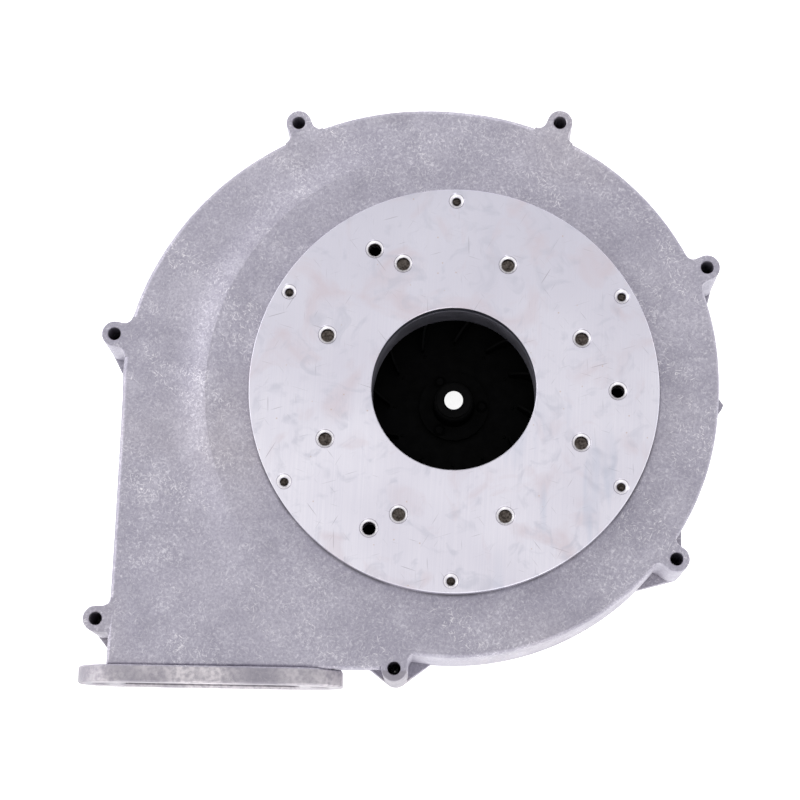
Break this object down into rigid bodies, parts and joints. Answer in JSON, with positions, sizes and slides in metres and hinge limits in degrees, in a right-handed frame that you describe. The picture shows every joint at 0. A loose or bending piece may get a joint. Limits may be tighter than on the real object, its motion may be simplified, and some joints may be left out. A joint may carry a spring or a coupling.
{
  "type": "combustion fan",
  "caption": "Radial blower for a boiler's gas and air mixture: die-cast volute with a drilled inlet disc, an oval outlet flange and a motor behind it.",
  "frame": {"origin": "centre of the motor cover's rear face, on the impeller's axis", "axes": "+Z along the impeller's axis and out of the inlet, -Y out of the outlet, +X away from the duct"},
  "size_m": [0.326, 0.296, 0.14],
  "materials": {
    "cast_aluminium": "mottled grey die-cast skin with small bright nicks",
    "machined_aluminium": "bright milled face with fine marks",
    "black_sheet": "black coated sheet",
    "zinc_steel": "bright zinc plating",
    "shaft_steel": "ground and polished",
    "bearing_steel": "ground",
    "laminated_steel": "stacked laminations",
    "copper_winding": "enamelled copper wire",
    "magnet": "dark sintered magnet",
    "seal_rubber": "black rubber",
    "black_plastic": "fine moulded grain",
    "grey_paint": "dark grey paint",
    "board_green": "solder mask",
    "white_plastic": "moulded",
    "brass": "plain"
  },
  "bodies": {
    "housing": {"inlet_housing": "cast_aluminium", "inlet_disc": "machined_aluminium", "housing_seal": "seal_rubber", "motor_housing": "cast_aluminium", "shaft_seal": "seal_rubber", "front_bearing": "bearing_steel", "rear_bearing": "bearing_steel", "stator_core": "laminated_steel", "motor_can": "grey_paint", "motor_end_shield": "cast_aluminium", "circuit_board": "board_green", "bus_capacitor": "black_plastic", "motor_cover": "black_plastic", "power_connector": "white_plastic", "signal_connector": "white_plastic", "earth_screw": "brass", "disc_screw_1": "zinc_steel", "cover_screw_1": "zinc_steel", "disc_screw_2": "zinc_steel", "cover_screw_2": "zinc_steel", "disc_screw_3": "zinc_steel", "cover_screw_3": "zinc_steel", "housing_screw_1": "zinc_steel", "housing_screw_2": "zinc_steel", "housing_screw_3": "zinc_steel", "housing_screw_4": "zinc_steel", "housing_screw_5": "zinc_steel", "housing_screw_6": "zinc_steel", "housing_screw_7": "zinc_steel", "motor_screw_1": "zinc_steel", "motor_screw_2": "zinc_steel", "motor_screw_3": "zinc_steel", "motor_screw_4": "zinc_steel", "stator_coil_1": "copper_winding", "stator_coil_2": "copper_winding", "stator_coil_3": "copper_winding", "stator_coil_4": "copper_winding", "stator_coil_5": "copper_winding", "stator_coil_6": "copper_winding"},
    "rotor": {"motor_shaft": "shaft_steel", "rotor_magnet": "magnet", "impeller_hub": "black_sheet", "shaft_clip": "black_sheet", "impeller_back_plate": "black_sheet", "impeller_shroud": "black_sheet", "hub_rivet_1": "black_sheet", "hub_rivet_2": "black_sheet", "hub_rivet_3": "black_sheet", "impeller_blade_01": "black_sheet", "impeller_blade_02": "black_sheet", "impeller_blade_03": "black_sheet", "impeller_blade_04": "black_sheet", "impeller_blade_05": "black_sheet", "impeller_blade_06": "black_sheet", "impeller_blade_07": "black_sheet", "impeller_blade_08": "black_sheet", "impeller_blade_09": "black_sheet", "impeller_blade_10": "black_sheet", "impeller_blade_11": "black_sheet", "impeller_blade_12": "black_sheet"}
  },
  "joints": [
    {"name": "impeller_spin", "type": "hinge", "parent": "housing", "child": "rotor", "pos_m": [0, 0, 0.086], "axis": [0, 0, 1], "continuous": true}
  ]
}
